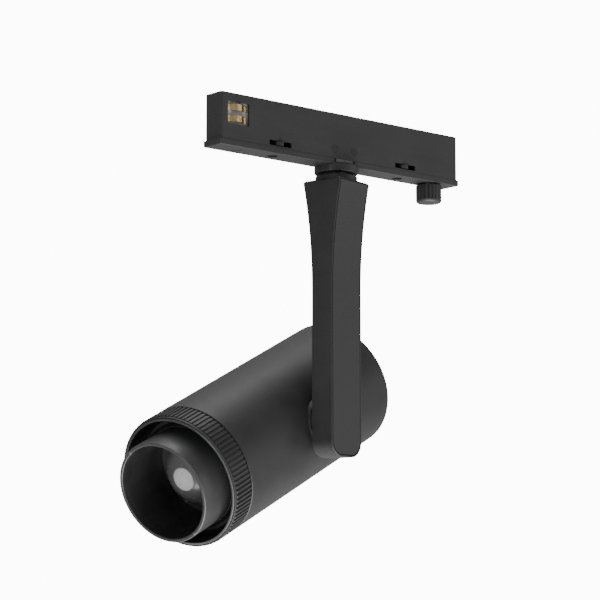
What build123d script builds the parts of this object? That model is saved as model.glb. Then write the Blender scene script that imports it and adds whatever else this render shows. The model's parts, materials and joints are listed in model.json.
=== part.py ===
from build123d import *
import os
from math import atan2, cos, radians, sin, sqrt

os.makedirs("parts", exist_ok=True)

# Track spotlight with a zoom lens. Millimetres. The origin is the centre of the adapter's top face, where it
# bears on the ceiling of the track, above the swivel. X runs along the track, Z is up.

# ---- fits and clearances -----------------------------------------------------------------------------------
run_fit = 0.05            # radial gap of a shaft that turns or slides in its bore
turn_gap = 0.1            # gap between flat faces that turn on each other
loose_gap = 0.4           # gap between moving pieces that never touch
seat_fit = 0.05           # gap of a fixed piece in its seat
seam = 0.25               # visible parting line round an inset cover
skin = 40.0               # oversize of a cutter past the surface that it opens

# ---- posture at rest ---------------------------------------------------------------------------------------
swivel_turn = 11.2        # degrees that the arm is turned from the track
head_dip = 25.0           # degrees that the lens looks below the horizontal

# ---- adapter -----------------------------------------------------------------------------------------------
adapter_length = 158.6
adapter_depth = 26.0      # top face to the underside of the cover plates
plate_width = 12.7
plate_proud = 0.15        # the plates stand this far past the housing on each side
plate_thickness = 3.0
plate_edge = 0.3
housing_wall = 1.2
housing_top = 1.5
housing_end = 1.5
housing_inset = 0.8       # the housing is this much shorter than the plates at each end
housing_corner = 1.0
housing_top_edge = 0.6
lip_height = 1.0          # locating ribs of the plates inside the housing
lip_thickness = 0.9
lip_gap = 3.0             # from the bush to the ribs
lip_stop = 4.3            # from the ribs to the dimmer

neck_half = 5.6           # half-length of the swivel bush where it shows between the plates
neck_gap = 1.0            # gap from the neck to each plate
neck_seam = 0.3
bush_half = 9.0
bush_height = 10.0
bush_screw_inset = 2.6
bush_screw_drop = 5.0     # below the top of the bush
bush_screw_radius = 1.25
bush_screw_head = 2.2
bush_screw_recess = 0.1
bush_screw_length = 3.0

plug_from_end = 15.0
plug_radius = 2.6
plug_gap = 0.1
plug_head_radius = 3.6
plug_head_thickness = 0.8
plug_recess = 0.15

# ---- locking cams ------------------------------------------------------------------------------------------
cam_from_end = 37.7
cam_hole_radius = 2.6
cam_boss_radius = 4.2
cam_recess = 1.4          # the key socket starts this far above the underside of the plate
cam_blade_length = 14.4
cam_blade_width = 5.0
cam_blade_thickness = 1.8
cam_pin_radius = 1.5
cam_pin_length = 2.6
cam_key_width = 2.5       # across flats
cam_key_depth = 1.8
cam_slot_length = 13.8
bridge_length = 8.0
bridge_thickness = 1.5

# ---- dimmer ------------------------------------------------------------------------------------------------
dimmer_from_end = 15.3
pot_side = 9.4
pot_height = 6.0
pot_bore_depth = 4.0
dimmer_shaft_radius = 2.95
knob_radius = 6.6
knob_height = 9.2
knob_gap = 0.8            # below the cover plate
knob_edge = 1.5
knob_wall = 2.2           # above the blind end of the shaft bore
knob_flutes = 20
flute_depth = 0.55
flute_width = 0.95
flute_stop = 1.7          # smooth band at the knob's lower edge

# ---- contacts and driver -----------------------------------------------------------------------------------
carrier_from_end = 11.3
carrier_length = 16.0
carrier_gap = 0.5         # from the carrier to each side of the cavity
carrier_height = 14.5
window_length = 13.0
window_height = 11.0
leaf_thickness = 0.3
leaf_height = 3.0
leaf_drop = (7.0, 12.5)   # heights of the two rows below the top face
leaf_foot = 1.6
leaf_ramp = 3.0
leaf_crown = 2.6
leaf_reach = 0.7          # past the side of the housing
board_from_bush = 1.0
board_from_carrier = 4.0
board_lift = 2.2          # above the cams
board_thickness = 1.2
board_inset = 1.2         # from the side of the cavity
inductor_side = 6.0
inductor_length = 8.0
capacitor_radius = 2.6
chip_side = 4.0
chip_thickness = 1.2

# ---- swivel ------------------------------------------------------------------------------------------------
collar_radius = 10.95
upper_collar_thickness = 3.4
collar_cheek_height = 1.0
collar_cheek_inset = 0.65
collar_edge = 0.5
lower_collar_inset = 0.55
lower_collar_thickness = 2.7
collar_groove = 1.3
stop_inset = 1.4          # from the edge of the lower collar
stop_depth = 1.6
stop_height = 0.8
arm_stop_width = 3.0
fixed_stop_width = 1.4
arm_stop_angle = 234.9    # degrees from the arm's width, seen from above
swivel_washer_gap = 0.8   # from the washer to the stops
nipple_radius = 4.0
nipple_wall = 1.4
top_washer_thickness = 0.8
top_nut_height = 2.4
top_nut_slot = 1.2
nipple_stand_out = 0.5
nut_wall = 1.5            # of the hexagon nuts, at their flats
lower_nut_height = 2.6

# ---- arm ---------------------------------------------------------------------------------------------------
arm_width = 24.2
arm_thickness = 12.2      # of the straight lower part
arm_length = 136.8
arm_corner = 8.0
flare_length = 54.6       # upper part that thickens towards the swivel
flare_radius = 270.0
arm_top_edge = 1.2
arm_wall = 1.6
arm_top_wall = 3.0
arm_back_wall = 2.6
cover_rim = 0.9
cover_thickness = 1.8

# ---- pivot -------------------------------------------------------------------------------------------------
pivot_rise = 18.2         # above the bottom of the arm
bolt_radius = 4.95
bolt_bore = 2.6
bolt_head_ledge = 2.05
bolt_head_thickness = 2.5
friction_washer_radius = 11.0
friction_washer_thickness = 1.1
boss_radius = 12.0
boss_thickness = 1.2      # at the centre line of the saddle
saddle_radius = 9.6
saddle_thickness = 5.0    # from the inner wall of the body at the centre line
spring_radius = 8.6
spring_thickness = 1.0
pivot_nut_height = 4.0
bolt_stand_out = 1.0
lead_radius = 1.3
lead_gap = 0.7            # from the lead to the head of the bolt
lead_bend = 3.5
lead_sway = 12.0          # radius of the two gentle bends below the nipple
lead_drop = 6.0           # straight below the nipple, and then the height of the step
lead_inside_head = 4.0    # past the end of the bolt

# ---- head --------------------------------------------------------------------------------------------------
body_radius = 33.5
body_wall = 2.0
body_front = 63.0         # distances along the head run from the pivot, forwards
body_rear = -59.4
body_rear_edge = 1.2
body_front_edge = 0.3
cap_thickness = 4.0
cap_recess = 0.8
cap_slots = 12
cap_slot_length = 9.0
cap_slot_width = 2.4
cap_slot_radius = 22.5
cap_screws = 3
cap_screw_circle = 12.0
cap_screw_radius = 1.5
cap_screw_head = 2.8
cap_screw_head_height = 1.6
cap_screw_length = 12.0
sink_face = -14.0
sink_base = 5.0
sink_fins = 9
sink_fin_pitch = 6.2
sink_fin_thickness = 2.0
sink_fin_stop = 3.0       # clear of the rear cap
sink_fin_inset = 1.0
sink_post_radius = 4.0

led_board_radius = 14.0
led_board_thickness = 1.5
led_screws = 2
led_screw_circle = 11.5
led_screw_radius = 1.0
led_screw_head = 1.9
led_screw_head_height = 1.2
led_screw_length = 5.0
chip_on_board_radius = 6.5
chip_on_board_thickness = 1.0
holder_radius = 15.0
holder_bore = 8.0
holder_height = 3.0
reflector_throat = 7.4
reflector_mouth = 16.0
reflector_length = 18.0
reflector_wall = 1.0
reflector_rim = 1.4

# ---- zoom --------------------------------------------------------------------------------------------------
tube_radius = 25.3
tube_wall = 1.8
tube_stand_out = 13.4     # in front of the grip
tube_rear_gap = 0.5       # from the guide's flange, at the end of the travel in
tube_lip = 0.8
tube_taper = 0.5          # the bore narrows by this, and stops an accessory short of the lens
tube_taper_length = 4.0
tube_taper_gap = 1.0      # from the top of the lens
lens_travel_in = 12.0
lens_travel_out = 4.0
zoom_turn_in = 60.0       # degrees of ring turn for the travel in
pin_station = 38.0
pin_radius = 1.5
pin_count = 3
pin_fit = 0.1             # gap from a pin to each side of its slots
slot_end = 0.4            # room past the pin at both ends of its slots
guide_wall = 1.65
guide_flange = 2.0
guide_flange_lip = 3.35   # stands in past the bore of the guide
guide_end_wall = 1.3      # in front of the snap ring
snap_width = 1.0
snap_depth = 0.6
snap_height = 2.2
barrel_wall = 2.15
barrel_end_wall = 2.1     # behind the slots
barrel_web_inset = 0.4    # from the rear of the grip
barrel_web_thickness = 2.0
barrel_lip_wall = 1.2
barrel_lip_height = 0.3   # in front of the grip
grip_wall = 1.3
grip_gap = 0.6            # from the body to the grip
grip_length = 12.6
grip_ridges = 90
grip_groove_depth = 0.45
grip_groove_width = 1.1
grip_plain = 0.9          # in front of the ridges: a narrow groove, then a smooth band
grip_plain_drop = 0.4     # the smooth band is lower than the ridges
grip_line_width = 0.3
grip_line_depth = 0.4

lens_depth = 34.1         # from the mouth of the tube back to the lens's seat
lens_seat_thickness = 2.0
lens_seat_ledge = 2.0
lens_rim = 2.5
lens_rim_ledge = 4.5      # flat rim round the dome, under the retainer
lens_dome_height = 15.5
retainer_gap = 0.4        # from the foot of the dome
retainer_height = 0.8

# ---- derived places ----------------------------------------------------------------------------------------
plate_bottom = -adapter_depth
plate_top = plate_bottom + plate_thickness
adapter_half = adapter_length / 2
plate_start = neck_half + neck_gap
plate_length = adapter_half - plate_start
housing_length = adapter_length - 2 * housing_inset
housing_width = plate_width - 2 * plate_proud
cavity_width = housing_width - 2 * housing_wall
bush_screw_x = bush_half - bush_screw_inset
cam_x = adapter_half - cam_from_end
dimmer_x = adapter_half - dimmer_from_end
plug_x = plug_from_end - adapter_half
carrier_x = carrier_from_end - adapter_half
carrier_width = cavity_width - 2 * carrier_gap
lip_start = bush_half + lip_gap
lip_length = dimmer_x - pot_side / 2 - lip_stop - lip_start
bush_top = plate_top + bush_height
blade_bottom = plate_top + lip_height + loose_gap
blade_top = blade_bottom + cam_blade_thickness
bridge_bottom = blade_top + loose_gap
cam_slot_height = cam_blade_thickness + 2 * loose_gap
carrier_top = -housing_top
board_start = carrier_x + carrier_length / 2 + board_from_carrier
board_length = -bush_half - board_from_bush - board_start
board_height = carrier_top - (blade_top + cam_pin_length + board_lift)
board_y = cavity_width / 2 - board_inset - board_thickness
knob_top = plate_bottom - knob_gap

upper_collar_bottom = plate_bottom - upper_collar_thickness
lower_collar_top = upper_collar_bottom - collar_groove
arm_top = lower_collar_top - lower_collar_thickness
arm_bottom = arm_top - arm_length
lower_collar_radius = collar_radius - lower_collar_inset
stop_radius = lower_collar_radius - stop_inset
nipple_bore = nipple_radius - nipple_wall
top_washer_radius = cavity_width / 2 - loose_gap
top_washer_bottom = bush_top + turn_gap
top_nut_bottom = top_washer_bottom + top_washer_thickness
nipple_top = top_nut_bottom + top_nut_height + nipple_stand_out
lower_nut_top = arm_top - arm_top_wall
nipple_bottom = lower_nut_top - lower_nut_height - nipple_stand_out

flare_start = arm_top - flare_length
arm_half = arm_thickness / 2
pivot_z = arm_bottom + pivot_rise
bolt_seat = arm_half - arm_back_wall
lead_y = bolt_seat - bolt_head_thickness - lead_gap - lead_radius
boss_face = arm_half + friction_washer_thickness + turn_gap
head_offset = boss_face + boss_thickness + body_radius
bore_radius = body_radius - body_wall
inner_wall = head_offset - bore_radius
saddle_face = inner_wall + saddle_thickness
spring_face = saddle_face + turn_gap
nut_face = spring_face + spring_thickness
bolt_end = nut_face + pivot_nut_height + bolt_stand_out

cap_face = body_rear + cap_recess
cap_inner = cap_face + cap_thickness
board_face = sink_face + led_board_thickness
holder_face = board_face + holder_height
guide_inner = tube_radius + run_fit
guide_outer = guide_inner + guide_wall
barrel_inner = guide_outer + run_fit
barrel_outer = barrel_inner + barrel_wall
tube_bore = tube_radius - tube_wall
tube_throat = tube_bore - tube_taper
grip_rear = body_front + grip_gap
grip_front = grip_rear + grip_length
barrel_lip_outer = body_radius - grip_wall
barrel_lip_inner = barrel_lip_outer - barrel_lip_wall
barrel_web = grip_rear + barrel_web_inset
barrel_web_front = barrel_web + barrel_web_thickness
barrel_front = grip_front + barrel_lip_height
lead_per_degree = lens_travel_in / zoom_turn_in
slot_width = 2 * (pin_radius + pin_fit)
slot_start = pin_station - lens_travel_in - pin_radius - slot_end
slot_length = lens_travel_in + lens_travel_out + 2 * (pin_radius + slot_end)
barrel_rear = slot_start - barrel_end_wall
guide_flange_front = barrel_rear - turn_gap
guide_rear = guide_flange_front - guide_flange
snap_station = barrel_web_front + turn_gap
guide_front = snap_station + snap_width + guide_end_wall
tube_front = grip_front + tube_stand_out
tube_rear = guide_flange_front + tube_rear_gap + lens_travel_in
lens_seat = tube_front - lens_depth
lens_front = lens_seat + lens_rim
lens_top = lens_front + lens_dome_height
tube_taper_front = lens_top + tube_taper_gap
lens_dome_radius = tube_throat - lens_rim_ledge

# ---- directions --------------------------------------------------------------------------------------------
up = Vector(0, 0, 1)
arm_across = Vector(cos(radians(swivel_turn)), sin(radians(swivel_turn)), 0)
arm_back = Vector(-sin(radians(swivel_turn)), cos(radians(swivel_turn)), 0)
head_forward = arm_across * -cos(radians(head_dip)) - up * sin(radians(head_dip))
head_side = arm_back * -1
head_centre = arm_back * head_offset + up * pivot_z
head_axis = Axis(head_centre, head_forward)


def arm_side_plane():
    """Through the swivel axis, looking along the arm's width: X runs back towards the head, Y runs up."""
    return Plane(origin=(0, 0, 0), x_dir=arm_back, z_dir=arm_across)


def arm_front_plane():
    """Through the swivel axis, facing the front of the arm: X runs across the arm, Y runs up."""
    return Plane(origin=(0, 0, 0), x_dir=arm_across, z_dir=arm_back * -1)


def pivot_plane(back):
    """Square to the pivot, this far behind the middle of the arm."""
    return Plane(origin=arm_back * back + up * pivot_z, x_dir=arm_across, z_dir=arm_back)


def head_plane(station, turn=0):
    """Square to the head's axis, this far forward of the pivot and turned by so many degrees."""
    across = head_side * cos(radians(turn)) + head_forward.cross(head_side) * sin(radians(turn))
    return Plane(origin=head_centre + head_forward * station, x_dir=across, z_dir=head_forward)


def head_section():
    """Through the head's axis: X is the radius and Y the distance forward of the pivot."""
    return Plane(origin=head_centre, x_dir=head_side, z_dir=head_side.cross(head_forward))


def pin_plane(index):
    """Square to one follower pin, on the head's axis."""
    square = head_plane(pin_station, 360 / pin_count * index)
    return Plane(origin=square.origin, x_dir=head_forward, z_dir=square.x_dir)


def side_plane(side, depth):
    """Along the adapter at the height of the bush screws, facing out on one side, with X along the track."""
    return Plane(
        origin=(0, side * depth, bush_top - bush_screw_drop), x_dir=(1, 0, 0), z_dir=(0, side, 0)
    )


def turned(points):
    """A ring or disc turned about the head's axis from a section of (radius, station) points."""
    with BuildPart() as piece:
        with BuildSketch(head_section()):
            with BuildLine():
                Polyline(*points, close=True)
            make_face()
        revolve(axis=head_axis)
    return piece


def ring(inner, outer, start, end):
    """A plain turned ring between two radii and two stations."""
    return turned([(inner, start), (outer, start), (outer, end), (inner, end)])


def flare(height):
    """How far the arm's front and back stand out past the straight part, at a height."""
    rise = max(height - flare_start, 0)
    return flare_radius - sqrt(flare_radius**2 - rise**2)


def arm_slice(edge_inset, top, near, far):
    """A solid inside the arm's outline, between two faces that follow its flare.

    near and far are (side, depth): the side, -1 front or 1 back, and the depth below that surface."""
    bottom = arm_bottom + edge_inset

    def across(face, height):
        return face[0] * (arm_half + flare(height) - face[1])

    with BuildPart() as piece:
        with BuildSketch(arm_side_plane()):
            with BuildLine():
                for face in (near, far):
                    Line((across(face, bottom), bottom), (across(face, flare_start), flare_start))
                    TangentArc(
                        (across(face, flare_start), flare_start), (across(face, top), top), tangent=(0, 1)
                    )
                Line((across(near, bottom), bottom), (across(far, bottom), bottom))
                Line((across(near, top), top), (across(far, top), top))
            make_face()
        extrude(amount=arm_width / 2, both=True)
        with BuildSketch(arm_front_plane()) as outline:
            with Locations((0, (bottom + top) / 2)):
                Rectangle(arm_width - 2 * edge_inset, top - bottom)
            fillet(outline.vertices().group_by(Axis.Y)[0], radius=arm_corner - edge_inset)
        extrude(amount=2 * skin, both=True, mode=Mode.INTERSECT)
    return piece


# ============================================================================================================
# Adapter
# ============================================================================================================
with BuildPart() as adapter_housing:
    with BuildSketch(Plane.XY):
        RectangleRounded(housing_length, housing_width, housing_corner)
    extrude(amount=plate_top)
    fillet(adapter_housing.faces().sort_by(Axis.Z)[-1].edges(), radius=housing_top_edge)
    with BuildSketch(Plane.XY.offset(plate_top)):
        Rectangle(housing_length - 2 * housing_end, cavity_width)
    extrude(amount=-plate_top - housing_top, mode=Mode.SUBTRACT)
    with Locations(*[(side * cam_x, 0, blade_bottom + cam_blade_thickness / 2) for side in (-1, 1)]):
        Box(cam_slot_length, skin, cam_slot_height, mode=Mode.SUBTRACT)
    with Locations((carrier_x, 0, -sum(leaf_drop) / 2)):
        Box(window_length, skin, window_height, mode=Mode.SUBTRACT)
    for side in (-1, 1):
        with BuildSketch(side_plane(side, housing_width / 2)):
            with Locations((bush_screw_x, 0), (-bush_screw_x, 0)):
                Circle(bush_screw_head)
        extrude(amount=-housing_wall, mode=Mode.SUBTRACT)

with BuildPart() as swivel_bush:
    with BuildSketch(Plane.XY.offset(plate_top)):
        Rectangle(2 * bush_half, cavity_width - 2 * seat_fit)
    extrude(amount=bush_height)
    with BuildSketch(Plane.XY.offset(plate_bottom)):
        Rectangle(2 * neck_half, plate_width)
    extrude(amount=plate_thickness)
    with Locations((0, plate_width / 2, plate_bottom), (0, -plate_width / 2, plate_bottom)):
        Box(neck_seam, neck_seam, 2 * plate_thickness, mode=Mode.SUBTRACT)
    with Locations((0, 0, bush_top)):
        Hole(nipple_radius + run_fit)
    for side in (-1, 1):
        with BuildSketch(side_plane(side, housing_width / 2 - bush_screw_length)):
            with Locations((bush_screw_x, 0), (-bush_screw_x, 0)):
                Circle(bush_screw_radius)
        extrude(amount=bush_screw_length, mode=Mode.SUBTRACT)

with BuildPart() as bush_screws:
    for side in (-1, 1):
        with BuildSketch(side_plane(side, housing_width / 2 - bush_screw_recess)):
            with Locations((bush_screw_x, 0), (-bush_screw_x, 0)):
                Circle(bush_screw_head)
        extrude(amount=bush_screw_recess - housing_wall)
        with BuildSketch(side_plane(side, housing_width / 2 - bush_screw_length)):
            with Locations((bush_screw_x, 0), (-bush_screw_x, 0)):
                Circle(bush_screw_radius)
        extrude(amount=bush_screw_length - bush_screw_recess)


def cover_plate(side, hole_x, hole_radius):
    """One half of the adapter's underside, on the left (-1) or right (1) of the swivel."""
    with BuildPart() as plate:
        with BuildSketch(Plane.XY.offset(plate_bottom)):
            with Locations((side * (plate_start + plate_length / 2), 0)):
                Rectangle(plate_length, plate_width)
        extrude(amount=plate_thickness)
        chamfer(plate.faces().sort_by(Axis.Z)[0].edges(), length=plate_edge)
        with BuildSketch(Plane.XY.offset(plate_top)):
            rib_y = (cavity_width - lip_thickness) / 2 - seat_fit
            with Locations(*[(side * (lip_start + lip_length / 2), y) for y in (-rib_y, rib_y)]):
                Rectangle(lip_length, lip_thickness)
            with Locations((side * cam_x, 0)):
                Circle(cam_boss_radius)
        extrude(amount=lip_height)
        with Locations((side * cam_x, 0, plate_top + lip_height)):
            Hole(cam_hole_radius)
        with Locations((hole_x, 0, plate_top)):
            Hole(hole_radius)
    return plate


cover_plate_left = cover_plate(-1, plug_x, plug_radius + plug_gap)
cover_plate_right = cover_plate(1, dimmer_x, dimmer_shaft_radius + run_fit)

with BuildPart() as blank_plug:
    with BuildSketch(Plane.XY.offset(plate_bottom + plug_recess)):
        with Locations((plug_x, 0)):
            Circle(plug_radius)
    extrude(amount=plate_thickness - plug_recess)
    with BuildSketch(Plane.XY.offset(plate_top)):
        with Locations((plug_x, 0)):
            Circle(plug_head_radius)
    extrude(amount=plug_head_thickness)

with BuildPart() as contact_carrier:
    with BuildSketch(Plane.XY.offset(carrier_top)):
        with Locations((carrier_x, 0)):
            Rectangle(carrier_length, carrier_width)
    extrude(amount=-carrier_height)

leaf_root = carrier_width / 2 + leaf_thickness / 2
leaf_tip = housing_width / 2 + leaf_reach - leaf_thickness / 2
leaf_half = leaf_crown / 2 + leaf_ramp + leaf_foot
with BuildPart() as contact_leaves:
    for drop in leaf_drop:
        with BuildSketch(Plane.XY.offset(-drop - leaf_height / 2)):
            for side in (-1, 1):
                with BuildLine():
                    Polyline(
                        (carrier_x - leaf_half, side * leaf_root),
                        (carrier_x - leaf_crown / 2 - leaf_ramp, side * leaf_root),
                        (carrier_x - leaf_crown / 2, side * leaf_tip),
                        (carrier_x + leaf_crown / 2, side * leaf_tip),
                        (carrier_x + leaf_crown / 2 + leaf_ramp, side * leaf_root),
                        (carrier_x + leaf_half, side * leaf_root),
                    )
                trace(line_width=leaf_thickness)
        extrude(amount=leaf_height)

with BuildPart() as driver_board:
    with BuildSketch(Plane.XY.offset(carrier_top)):
        with Locations((board_start + board_length / 2, board_y + board_thickness / 2)):
            Rectangle(board_length, board_thickness)
    extrude(amount=-board_height)

board_side = Plane(
    origin=(0, board_y, carrier_top - board_height / 2), x_dir=(1, 0, 0), z_dir=(0, -1, 0)
)
component_lengths = (inductor_length, 2 * capacitor_radius, chip_side, chip_side)
component_gap = (board_length - sum(component_lengths)) / (len(component_lengths) + 1)
component_x = []
board_reached = board_start
for length in component_lengths:
    component_x.append(board_reached + component_gap + length / 2)
    board_reached += component_gap + length
with BuildPart() as driver_components:
    with BuildSketch(board_side):
        with Locations((component_x[0], 0)):
            Rectangle(inductor_length, inductor_side)
        with Locations((component_x[1], 0)):
            Circle(capacitor_radius)
    extrude(amount=inductor_side)
    with BuildSketch(board_side):
        with Locations(*[(x, 0) for x in component_x[2:]]):
            Rectangle(chip_side, chip_side)
    extrude(amount=chip_thickness)

# ---- locking cams, turned across the track so that they grip above its lips -------------------------------
with BuildPart() as cam_bridges:
    with BuildSketch(Plane.XY.offset(bridge_bottom)):
        with Locations((-cam_x, 0), (cam_x, 0)):
            Rectangle(bridge_length, cavity_width - 2 * seat_fit)
            Circle(cam_pin_radius + run_fit, mode=Mode.SUBTRACT)
    extrude(amount=bridge_thickness)


def lock_cam(x):
    """A cam with its blade across the track, on a stem with a key socket below."""
    stem_bottom = plate_bottom + cam_recess
    with BuildPart() as cam:
        with BuildSketch(Plane.XY.offset(stem_bottom)):
            with Locations((x, 0)):
                Circle(cam_hole_radius - run_fit)
        extrude(amount=blade_bottom - stem_bottom)
        with BuildSketch(Plane.XY.offset(blade_bottom)):
            with Locations((x, 0)):
                SlotOverall(cam_blade_length, cam_blade_width, rotation=90)
        extrude(amount=cam_blade_thickness)
        with BuildSketch(Plane.XY.offset(blade_top)):
            with Locations((x, 0)):
                Circle(cam_pin_radius)
        extrude(amount=cam_pin_length)
        with BuildSketch(Plane.XY.offset(stem_bottom)):
            with Locations((x, 0)):
                RegularPolygon(cam_key_width / 2, 6, major_radius=False)
        extrude(amount=cam_key_depth, mode=Mode.SUBTRACT)
    return cam


lock_cam_left = lock_cam(-cam_x)
lock_cam_right = lock_cam(cam_x)

# ---- dimmer ------------------------------------------------------------------------------------------------
with BuildPart() as dimmer_pot:
    with BuildSketch(Plane.XY.offset(plate_top)):
        with Locations((dimmer_x, 0)):
            Rectangle(pot_side, pot_side)
    extrude(amount=pot_height)
    with BuildSketch(Plane.XY.offset(plate_top)):
        with Locations((dimmer_x, 0)):
            Circle(dimmer_shaft_radius + run_fit)
    extrude(amount=pot_bore_depth, mode=Mode.SUBTRACT)

shaft_top = plate_top + pot_bore_depth - loose_gap
shaft_bottom = knob_top - knob_height + knob_wall
with BuildPart() as dimmer_shaft:
    with BuildSketch(Plane.XY.offset(shaft_bottom)):
        with Locations((dimmer_x, 0)):
            Circle(dimmer_shaft_radius)
    extrude(amount=shaft_top - shaft_bottom)

with BuildPart() as dimmer_knob:
    with BuildSketch(Plane.XY.offset(knob_top - knob_height)):
        with Locations((dimmer_x, 0)):
            Circle(knob_radius)
    extrude(amount=knob_height)
    fillet(dimmer_knob.faces().sort_by(Axis.Z)[0].edges(), radius=knob_edge)
    with BuildSketch(Plane.XY.offset(knob_top - knob_height + flute_stop)):
        with Locations((dimmer_x, 0)):
            with PolarLocations(knob_radius, knob_flutes):
                Rectangle(2 * flute_depth, flute_width)
    extrude(amount=knob_height, mode=Mode.SUBTRACT)
    with BuildSketch(Plane.XY.offset(shaft_bottom)):
        with Locations((dimmer_x, 0)):
            Circle(dimmer_shaft_radius)
    extrude(amount=knob_height, mode=Mode.SUBTRACT)

# ============================================================================================================
# Swivel
# ============================================================================================================
fixed_stop_angle = arm_stop_angle - 180
with BuildPart() as upper_collar:
    with BuildSketch(Plane.XY.offset(upper_collar_bottom)):
        Circle(collar_radius)
    extrude(amount=upper_collar_thickness)
    fillet(upper_collar.faces().sort_by(Axis.Z)[0].edges(), radius=collar_edge)
    with BuildSketch(Plane.XY.offset(plate_bottom)):
        Circle(collar_radius - collar_cheek_inset)
        Rectangle(2 * collar_radius, plate_width + 2 * seat_fit, mode=Mode.SUBTRACT)
    extrude(amount=collar_cheek_height)
    with BuildSketch(Plane.XY.offset(upper_collar_bottom)):
        with PolarLocations(stop_radius, 1, start_angle=fixed_stop_angle):
            Rectangle(stop_depth, fixed_stop_width)
    extrude(amount=-stop_height)
    with Locations((0, 0, plate_bottom)):
        Hole(nipple_radius + loose_gap)

with BuildPart() as lower_collar:
    with BuildSketch(Plane.XY.offset(arm_top)):
        Circle(lower_collar_radius)
    extrude(amount=lower_collar_thickness)
    chamfer(lower_collar.faces().sort_by(Axis.Z)[-1].edges(), length=plate_edge)
    with BuildSketch(Plane.XY.offset(lower_collar_top)):
        with PolarLocations(stop_radius, 1, start_angle=arm_stop_angle + swivel_turn):
            Rectangle(stop_depth, arm_stop_width)
    extrude(amount=stop_height)
    with Locations((0, 0, lower_collar_top)):
        Hole(nipple_radius)

with BuildPart() as swivel_washer:
    with BuildSketch(Plane.XY.offset(lower_collar_top)):
        Circle(stop_radius - stop_depth / 2 - swivel_washer_gap)
        Circle(nipple_radius, mode=Mode.SUBTRACT)
    extrude(amount=collar_groove - turn_gap)

with BuildPart() as swivel_nipple:
    with BuildSketch(Plane.XY.offset(nipple_bottom)):
        Circle(nipple_radius)
        Circle(nipple_bore, mode=Mode.SUBTRACT)
    extrude(amount=nipple_top - nipple_bottom)

with BuildPart() as top_washer:
    with BuildSketch(Plane.XY.offset(top_washer_bottom)):
        Circle(top_washer_radius)
        Circle(nipple_radius, mode=Mode.SUBTRACT)
    extrude(amount=top_washer_thickness)

with BuildPart() as top_nut:
    with BuildSketch(Plane.XY.offset(top_nut_bottom)):
        Circle(top_washer_radius)
        Circle(nipple_radius, mode=Mode.SUBTRACT)
    extrude(amount=top_nut_height)
    with BuildSketch(Plane.XY.offset(top_nut_bottom + top_nut_height)):
        Rectangle(2 * top_washer_radius, top_nut_slot)
        Circle(nipple_radius, mode=Mode.SUBTRACT)
    extrude(amount=-top_nut_height / 2, mode=Mode.SUBTRACT)

with BuildPart() as lower_nut:
    with BuildSketch(Plane.XY.offset(lower_nut_top)):
        RegularPolygon(nipple_radius + nut_wall, 6, major_radius=False, rotation=swivel_turn)
        Circle(nipple_radius, mode=Mode.SUBTRACT)
    extrude(amount=-lower_nut_height)

# ============================================================================================================
# Arm: a channel that is open at the front, closed by an inset cover
# ============================================================================================================
front, back = -1, 1
arm_blank = arm_slice(0, arm_top, (front, 0), (back, 0))
arm_hollow = arm_slice(arm_wall, arm_top - arm_top_wall, (front, -skin), (back, arm_back_wall))
cover_seat = arm_slice(cover_rim, arm_top - cover_rim, (front, -skin), (front, cover_thickness))
with BuildPart() as arm_body:
    add(arm_blank.part)
    fillet(arm_body.faces().sort_by(Axis.Z)[-1].edges(), radius=arm_top_edge)
    add(arm_hollow.part, mode=Mode.SUBTRACT)
    add(cover_seat.part, mode=Mode.SUBTRACT)
    with Locations((0, 0, arm_top)):
        Hole(nipple_radius, depth=2 * arm_top_wall)
    with BuildSketch(pivot_plane(0)):
        Circle(bolt_radius)
    extrude(amount=arm_thickness, mode=Mode.SUBTRACT)

arm_cover = arm_slice(
    cover_rim + seam, arm_top - cover_rim - seam, (front, 0), (front, cover_thickness)
)

# The lead comes down the middle of the nipple, steps forward past the bolt's head and turns into its bore.
with BuildPart() as arm_lead:
    with BuildLine(arm_side_plane()) as lead_route:
        FilletPolyline(
            (0, nipple_top),
            (0, nipple_bottom - lead_drop),
            (lead_y, nipple_bottom - 2 * lead_drop),
            (lead_y, pivot_z),
            (bolt_end + lead_inside_head, pivot_z),
            radius=[lead_sway, lead_sway, lead_bend],
        )
    with BuildSketch(Plane(origin=lead_route.line @ 0, z_dir=lead_route.line % 0)):
        Circle(lead_radius)
    sweep()

# ============================================================================================================
# Pivot between the arm and the head
# ============================================================================================================
with BuildPart() as pivot_bolt:
    with BuildSketch(pivot_plane(bolt_seat)):
        Circle(bolt_radius + bolt_head_ledge)
    extrude(amount=-bolt_head_thickness)
    with BuildSketch(pivot_plane(bolt_seat)):
        Circle(bolt_radius)
    extrude(amount=bolt_end - bolt_seat)
    with BuildSketch(pivot_plane(bolt_end)):
        Circle(bolt_bore)
    extrude(amount=-skin, mode=Mode.SUBTRACT)

with BuildPart() as friction_washer:
    with BuildSketch(pivot_plane(arm_half)):
        Circle(friction_washer_radius)
        Circle(bolt_radius, mode=Mode.SUBTRACT)
    extrude(amount=friction_washer_thickness)

with BuildPart() as pivot_boss:
    with BuildSketch(pivot_plane(boss_face)):
        Circle(boss_radius)
        Circle(bolt_radius + run_fit, mode=Mode.SUBTRACT)
    extrude(amount=boss_radius)
    with BuildSketch(head_plane(0)):
        Circle(body_radius)
    extrude(amount=2 * boss_radius, both=True, mode=Mode.SUBTRACT)

with BuildPart() as pivot_saddle:
    with BuildSketch(pivot_plane(saddle_face)):
        Circle(saddle_radius)
        Circle(bolt_radius + run_fit, mode=Mode.SUBTRACT)
    extrude(amount=-2 * saddle_thickness)
    with BuildSketch(head_plane(0)):
        Circle(bore_radius)
    extrude(amount=2 * saddle_radius, both=True, mode=Mode.INTERSECT)

with BuildPart() as disc_spring:
    with BuildSketch(pivot_plane(spring_face)):
        Circle(spring_radius)
        Circle(bolt_radius, mode=Mode.SUBTRACT)
    extrude(amount=spring_thickness)

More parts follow.
